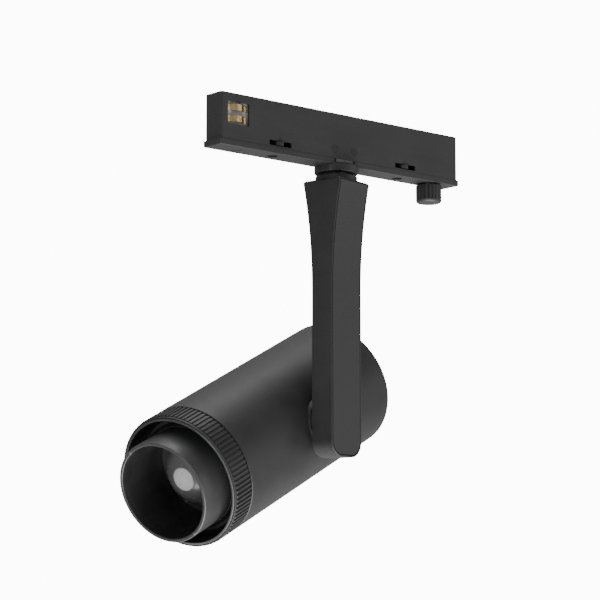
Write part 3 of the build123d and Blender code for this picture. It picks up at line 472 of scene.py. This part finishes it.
def lens_glass():
    """Clear grey glass, paler towards its rim, with a painted bright spot in the middle that stands for the
    LED and its reflector seen through the glass, rougher and bumpier there.
    """
    finish = Finish("lens_glass", grey(0.1), 0.2, specular=0.5)
    finish.place_on(head_turn)
    radius = finish.radius()
    mottle = finish.clouded(finish.noise(1.1 * MM, detail=3), -0.14, 0.14)
    # painted bright spot: 1 inside the spot, 0.1 outside it; its colour, roughness and bump follow it
    edge = finish.spread(
        radius, PAINTED_SPOT_RADIUS - PAINTED_SPOT_FADE, PAINTED_SPOT_RADIUS + PAINTED_SPOT_FADE, 1.0, 0.1, smooth=True
    )
    rim = finish.spread(radius, PAINTED_SPOT_RADIUS, LENS_RADIUS, 0.0, 0.25)
    painted_spot = finish.sum("ADD", finish.sum("MULTIPLY", edge, finish.sum("ADD", mottle, 0.9)), rim)
    finish.tint(painted_spot, grey(0.03), grey(0.5))
    finish.rough(finish.spread(edge, 0.0, 1.0, 0.3, 0.6))
    finish.relief(finish.sum("MULTIPLY", edge, finish.cells(0.5 * MM)), 0.05 * MM, 0.3)
    finish.shader.inputs["Coat Weight"].default_value = 0.3
    finish.shader.inputs["Coat Roughness"].default_value = 0.2
    return finish.material


finishes = {
    "powder_coat": powder_coat(),
    "black_anodised": black_anodised(),
    "black_plastic": black_plastic(),
    "grey_insulator": grey_insulator(),
    "black_steel": black_steel(),
    "plated_steel": plated_steel(),
    "contact_brass": contact_brass(),
    "circuit_board": circuit_board(),
    "bare_aluminium": bare_aluminium(),
    "fibre_washer": fibre_washer(),
    "lead_jacket": lead_jacket(),
    "phosphor": phosphor(),
    "reflector_film": reflector_film(),
    "lens_glass": lens_glass(),
}
for node, cad_object in frame["nodes"].items():
    cad_object.material_slots[0].material = finishes[slot_of[node]]


# ============================================================================================================
# Ways to make a piece
# ============================================================================================================
ROUND_STEPS = 192                 # steps round a turned piece
WIDE_ROUND_STEPS = 256
LENS_STEPS = 160
EDGE_SEGMENTS = 5                 # steps across a turned piece's rounded corner


def stand_for(node, bm):
    """Makes the piece that is shown in place of a CAD node, with that node's body and finish."""
    name = node + "_shown"
    bmesh.ops.recalc_face_normals(bm, faces=bm.faces)
    for face in bm.faces:
        face.smooth = True
    for edge in bm.edges:
        edge.smooth = edge.calc_face_angle(0) < SHARP
    mesh = bpy.data.meshes.new(name)
    bm.to_mesh(mesh)
    bm.free()
    mesh.materials.append(finishes[slot_of[node]])
    piece = bpy.data.objects.new(name, mesh)
    bpy.context.scene.collection.objects.link(piece)
    weigh = piece.modifiers.new("face_weighted_normals", "WEIGHTED_NORMAL")
    weigh.keep_sharp = True
    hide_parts(node)
    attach(piece, body_of[node])
    return piece


def turned(corners, place, steps=ROUND_STEPS):
    """A shape turned about the Z axis of a place, from a section of (radius, station, rounding) corners."""
    bm = bmesh.new()
    points = [bm.verts.new((radius, 0, station)) for radius, station, _ in corners]
    on_axis = min(radius for radius, _, _ in corners) < WELD
    followers = points[1:] if on_axis else points[1:] + points[:1]
    for point, follower in zip(points, followers):
        bm.edges.new((point, follower))
    for point, (_, _, rounding) in zip(points, corners):
        if rounding:
            bmesh.ops.bevel(
                bm, geom=[point], offset=rounding, offset_type="OFFSET", segments=EDGE_SEGMENTS,
                profile=0.5, affect="VERTICES", material=-1,
            )
    bmesh.ops.spin(
        bm, geom=bm.verts[:] + bm.edges[:], cent=(0, 0, 0), axis=(0, 0, 1), angle=2 * pi, steps=steps,
        use_merge=True,
    )
    bmesh.ops.remove_doubles(bm, verts=bm.verts, dist=WELD)
    bmesh.ops.transform(bm, matrix=place, verts=bm.verts)
    return bm


def weld(bm):
    """Joins the points that lie on each other, and the flat faces that meet."""
    bmesh.ops.remove_doubles(bm, verts=bm.verts, dist=WELD)
    bmesh.ops.dissolve_limit(bm, angle_limit=FLAT, verts=bm.verts, edges=bm.edges)


def sharp_edges(bm):
    """The edges at which the surface turns a corner."""
    return [edge for edge in bm.edges if edge.calc_face_angle(0) > SHARP]


def soften(bm, edges, width, segments):
    """Rounds some edges."""
    bmesh.ops.bevel(
        bm, geom=edges, offset=width, offset_type="OFFSET", segments=segments, profile=0.5,
        affect="EDGES", material=-1,
    )


def softened(node, width, segments=2):
    """A merged copy of a CAD node's mesh with its corners rounded."""
    bm = bmesh.new()
    bm.from_mesh(frame["nodes"][node].data)
    weld(bm)
    soften(bm, sharp_edges(bm), width, segments)
    return bm


def ribbed(sections, ridges, shape, place):
    """A shape drawn through sections of (station, radius, groove depth), with ridges round it.

    shape gives the points of one ridge, each as (share of the pitch, share of the depth). The sections end on
    the axis, or else the last one is joined to the first."""
    bm = bmesh.new()
    count = ridges * len(shape)
    bmesh.ops.create_circle(bm, segments=count, radius=1)
    bm.verts.ensure_lookup_table()
    ring = bm.verts[:]

    def lay(vertices, section):
        station, radius, depth = section
        for index, vertex in enumerate(vertices):
            share, groove = shape[index % len(shape)]
            turn = 2 * pi * (index // len(shape) + share) / ridges
            here = radius - depth * groove
            vertex.co = (here * cos(turn), here * sin(turn), station)

    lay(ring, sections[0])
    for section in sections[1:]:
        edges = [bm.edges.get((ring[i], ring[i - 1])) for i in range(count)]
        drawn = bmesh.ops.extrude_edge_only(bm, edges=edges)["geom"]
        fresh = {item for item in drawn if isinstance(item, bmesh.types.BMVert)}
        drawn_from = {}
        for vertex in fresh:
            for edge in vertex.link_edges:
                if edge.other_vert(vertex) not in fresh:
                    drawn_from[edge.other_vert(vertex)] = vertex
        ring = [drawn_from[vertex] for vertex in ring]
        lay(ring, section)
    _, last_radius, _ = sections[-1]
    if last_radius > WELD:
        loose = [edge for edge in bm.edges if edge.is_boundary]
        bmesh.ops.bridge_loops(bm, edges=loose)
    bmesh.ops.remove_doubles(bm, verts=bm.verts, dist=WELD)
    bmesh.ops.transform(bm, matrix=place, verts=bm.verts)
    return bm


def cut(piece, bm):
    """Cuts a shape out of a piece, for good."""
    mesh = bpy.data.meshes.new("cutter")
    bmesh.ops.recalc_face_normals(bm, faces=bm.faces)
    bm.to_mesh(mesh)
    bm.free()
    cutter = bpy.data.objects.new("cutter", mesh)
    bpy.context.scene.collection.objects.link(cutter)
    modifier = piece.modifiers.new("cut", "BOOLEAN")
    modifier.operation = "DIFFERENCE"
    modifier.solver = "EXACT"
    modifier.object = cutter
    while piece.modifiers[0] != modifier:
        piece.modifiers.move(len(piece.modifiers) - 1, 0)
    others = [m for m in piece.modifiers if m != modifier]
    for other in others:
        other.show_viewport = False
    graph = bpy.context.evaluated_depsgraph_get()
    result = bpy.data.meshes.new_from_object(piece.evaluated_get(graph))
    for other in others:
        other.show_viewport = True
    piece.modifiers.remove(modifier)
    bpy.data.objects.remove(cutter)
    piece.data = result


# ============================================================================================================
# Head
# ============================================================================================================
TIGHT = 0.05 * MM                 # between a seated piece and its seat
LIP_EDGE = 0.55 * MM              # rounding of the front lips


def head_shell():
    """The tube of the head, with a soft rear edge and the hole for the pivot bolt."""
    rear, front, bore, outside = reach("head_housing")
    bore_edge, rear_edge = 0.3 * MM, 1.2 * MM
    corners = [
        (bore, rear, bore_edge),
        (outside, rear, rear_edge),
        (outside, front, LIP_EDGE),
        (bore, front, bore_edge),
    ]
    shell = stand_for("head_housing", turned(corners, head_place, WIDE_ROUND_STEPS))
    _, high, _, bolt = reach("pivot_bolt", pivot_place)
    hole = bmesh.new()
    bmesh.ops.create_cone(
        hole, cap_ends=True, segments=64, radius1=bolt, radius2=bolt, depth=outside,
        matrix=pivot_place @ Matrix.Translation((0, 0, high)),
    )
    cut(shell, hole)


TAPER = 0.5 * MM                  # the tube's bore narrows by this behind an accessory
TAPER_LENGTH = 4.0 * MM
TAPER_GAP = 1.0 * MM              # from the top of the lens
SEAT_LEDGE = 2.0 * MM             # width and height of the ledge under the lens
DOME_LEDGE = 4.45 * MM            # flat rim round the dome of the lens
DOME_HEIGHT = 15.5 * MM


def lens_tube():
    """The sliding tube: a rounded lip, a slight taper in its bore, and the ledge that the lens sits on."""
    rear, front, _, outside = reach("lens_tube")
    lens_rear, lens_top, _, lens_outside = reach("lens")
    throat = lens_outside + TIGHT
    taper_front = lens_top + TAPER_GAP
    bore_edge, rear_edge, seat_edge = 0.2 * MM, 0.4 * MM, 0.15 * MM
    corners = [
        (throat, rear, bore_edge),
        (outside, rear, rear_edge),
        (outside, front, LIP_EDGE),
        (throat + TAPER, front, LIP_EDGE),
        (throat + TAPER, taper_front, 0),
        (throat, taper_front - TAPER_LENGTH, 0),
        (throat, lens_rear, 0),
        (throat - SEAT_LEDGE, lens_rear, seat_edge),
        (throat - SEAT_LEDGE, lens_rear - SEAT_LEDGE, seat_edge),
        (throat, lens_rear - SEAT_LEDGE, 0),
    ]
    stand_for("lens_tube", turned(corners, head_place, WIDE_ROUND_STEPS))


def lens():
    """A deeply domed lens with a flat rim."""
    rear, top, _, outside = reach("lens")
    foot = outside - DOME_LEDGE
    sphere = (foot**2 + DOME_HEIGHT**2) / (2 * DOME_HEIGHT)
    half = asin(foot / sphere)
    dome_steps, rim_edge = 32, 0.2 * MM
    corners = [(0, rear, 0), (outside, rear, rim_edge), (outside, top - DOME_HEIGHT, rim_edge)]
    for index in range(dome_steps + 1):
        turn = half * (1 - index / dome_steps)
        corners.append((sphere * sin(turn), top - sphere * (1 - cos(turn)), 0))
    stand_for("lens", turned(corners, head_place, LENS_STEPS))


def lens_retainer():
    """The flat ring that holds the lens down."""
    low, high, inside, outside = reach("lens_retainer")
    outer_edge, inner_edge = 0.1 * MM, 0.25 * MM
    corners = [
        (inside, low, 0),
        (outside, low, 0),
        (outside, high, outer_edge),
        (inside, high, inner_edge),
    ]
    stand_for("lens_retainer", turned(corners, head_place))


GRIP_RIDGES = 90
GRIP_RIDGE = ((-0.19, 0), (0.0, 0), (0.19, 0), (0.3, 1), (0.5, 1), (0.7, 1))
GRIP_BAND = 0.9 * MM              # in front of the ridges: a fine line, then a smooth band
GRIP_LINE = 0.3 * MM
GRIP_DROP = 0.4 * MM              # the smooth band is lower than the ridges


def zoom_grip():
    """The knurled ring: straight ridges, then a fine line and a smooth band round the front."""
    rear, front, inside, outside = reach("zoom_grip")
    depth, soft, line_depth, edge = 0.6 * MM, 0.2 * MM, 0.5 * MM, 0.25 * MM
    middle = 0.3 * edge           # a rounded edge passes this far from the sharp corner
    band = front - GRIP_BAND
    smooth = outside - GRIP_DROP
    sections = [
        (rear, inside, 0),
        (rear, outside - depth - soft, 0),
        (rear, outside - soft, depth - soft),
        (rear + soft, outside, depth),
        (band - soft, outside, depth),
        (band, outside - soft, 0),
        (band, outside - line_depth, 0),
        (band + GRIP_LINE, outside - line_depth, 0),
        (band + GRIP_LINE, smooth, 0),
        (front - edge, smooth, 0),
        (front - middle, smooth - middle, 0),
        (front, smooth - edge, 0),
        (front, inside + edge, 0),
        (front - middle, inside + middle, 0),
        (front - edge, inside, 0),
    ]
    stand_for("zoom_grip", ribbed(sections, GRIP_RIDGES, GRIP_RIDGE, head_place))


CAP_SCREWS = 3
SCREW_HEAD = 2.8 * MM             # radius
SCREW_HEAD_HEIGHT = 1.6 * MM
SCREW_SHANK = 1.5 * MM            # radius
SCREW_SOCKET = 1.25 * MM          # radius at the corners
SOCKET_DEPTH = 0.6                # of the head's height
SCREW_EDGE = 0.3 * MM
SCREW_EDGE_MIDDLE = 0.08 * MM     # the head's rounded edge passes this far from the sharp corner


def socket_screw(length, place):
    """A socket screw with its head's face at Z 0 of a place and its shank below."""
    bm = bmesh.new()
    bottom = bmesh.ops.create_circle(bm, cap_ends=True, segments=6, radius=SCREW_SOCKET)["verts"]
    walls = bmesh.ops.extrude_face_region(bm, geom=bm.faces[:])["geom"]
    bmesh.ops.translate(bm, verts=bottom, vec=(0, 0, -SOCKET_DEPTH * SCREW_HEAD_HEIGHT))
    top_faces = [item for item in walls if isinstance(item, bmesh.types.BMFace)]
    bmesh.ops.delete(bm, geom=top_faces, context="FACES_ONLY")
    hexagon = [edge for edge in bm.edges if edge.is_boundary]
    outline = bmesh.ops.create_circle(bm, segments=36, radius=SCREW_HEAD - SCREW_EDGE)["verts"]
    rim = list({edge for vertex in outline for edge in vertex.link_edges})
    bmesh.ops.bridge_loops(bm, edges=hexagon + rim)
    for radius, station in (
        (SCREW_HEAD - SCREW_EDGE_MIDDLE, -SCREW_EDGE_MIDDLE),
        (SCREW_HEAD, -SCREW_EDGE),
        (SCREW_HEAD, -SCREW_HEAD_HEIGHT),
        (SCREW_SHANK, -SCREW_HEAD_HEIGHT),
        (SCREW_SHANK, SCREW_EDGE - length),
        (SCREW_SHANK - SCREW_EDGE, -length),
    ):
        drawn = bmesh.ops.extrude_edge_only(bm, edges=rim)["geom"]
        fresh = {item for item in drawn if isinstance(item, bmesh.types.BMVert)}
        for vertex in fresh:
            vertex.co = (*(vertex.co.xy.normalized() * radius), station)
        edges = [item for item in drawn if isinstance(item, bmesh.types.BMEdge)]
        rim = [edge for edge in edges if set(edge.verts) <= fresh]
    bmesh.ops.contextual_create(bm, geom=rim)
    bmesh.ops.transform(bm, matrix=place, verts=bm.verts)
    return bm


def rear_cap_screws():
    """The cap screws round the back of the head."""
    rear, front, _, outside = reach("rear_cap_screws")
    back_face = frame_at(head_centre, -head_side, head_crown, -forward)
    bm = bmesh.new()
    for index in range(CAP_SCREWS):
        turn = Matrix.Rotation(2 * pi * (index + 0.5) / CAP_SCREWS, 4, "Z")
        out = Matrix.Translation((outside - SCREW_HEAD, 0, -rear))
        screw = socket_screw(front - rear, back_face @ turn @ out)
        mesh = bpy.data.meshes.new("screw")
        screw.to_mesh(mesh)
        screw.free()
        bm.from_mesh(mesh)
        bpy.data.meshes.remove(mesh)
    stand_for("rear_cap_screws", bm)


head_shell()
lens_tube()
lens()
lens_retainer()
zoom_grip()
rear_cap_screws()
stand_for("cam_barrel", softened("cam_barrel", 0.3 * MM, segments=3))
stand_for("rear_cap", softened("rear_cap", 0.2 * MM))
stand_for("pivot_boss", softened("pivot_boss", 0.2 * MM))

# ============================================================================================================
# Arm and swivel
# ============================================================================================================
stand_for("arm_body", softened("arm_body", 0.3 * MM, segments=3))
stand_for("arm_cover", softened("arm_cover", 0.15 * MM))
stand_for("upper_collar", softened("upper_collar", 0.15 * MM))
stand_for("lower_collar", softened("lower_collar", 0.15 * MM))

# ============================================================================================================
# Adapter
# ============================================================================================================
KNOB_FLUTES = 20
KNOB_FLUTE = ((-0.24, 0), (0.0, 0), (0.24, 0), (0.37, 0.75), (0.5, 1), (0.63, 0.75))


def dimmer_knob():
    """The fluted dimmer knob, with a plain rounded band at its lower edge and a blind bore for its shaft."""
    shaft_low, shaft_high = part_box("dimmer_shaft")
    low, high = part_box("dimmer_knob")
    middle = (low + high) / 2
    place = Matrix.Translation((middle.x, middle.y, 0))
    shaft = (shaft_high.x - shaft_low.x) / 2
    outside = (high.x - low.x) / 2
    depth, soft, edge, band = 0.55 * MM, 0.3 * MM, 1.5 * MM, 1.7 * MM
    edge_steps = 6
    sections = [
        (shaft_low.z, 0, 0),
        (shaft_low.z, shaft, 0),
        (high.z, shaft, 0),
        (high.z, outside - 2 * depth, 0),
        (high.z, outside - soft, depth),
        (high.z - soft, outside, depth),
        (low.z + band + soft, outside, depth),
        (low.z + band, outside, 0),
    ]
    for index in range(edge_steps + 1):
        turn = pi / 2 * index / edge_steps
        sections.append((low.z + edge - edge * sin(turn), outside - edge + edge * cos(turn), 0))
    sections.append((low.z, 0, 0))
    stand_for("dimmer_knob", ribbed(sections, KNOB_FLUTES, KNOB_FLUTE, place))


dimmer_knob()
for node, width in (              # the roundings in millimetres
    ("adapter_housing", 0.2),
    ("swivel_bush", 0.12),
    ("cover_plate_left", 0.1),
    ("cover_plate_right", 0.1),
    ("blank_plug", 0.12),
    ("lock_cam_left", 0.12),
    ("lock_cam_right", 0.12),
    ("contact_carrier", 0.2),
):
    stand_for(node, softened(node, width * MM))
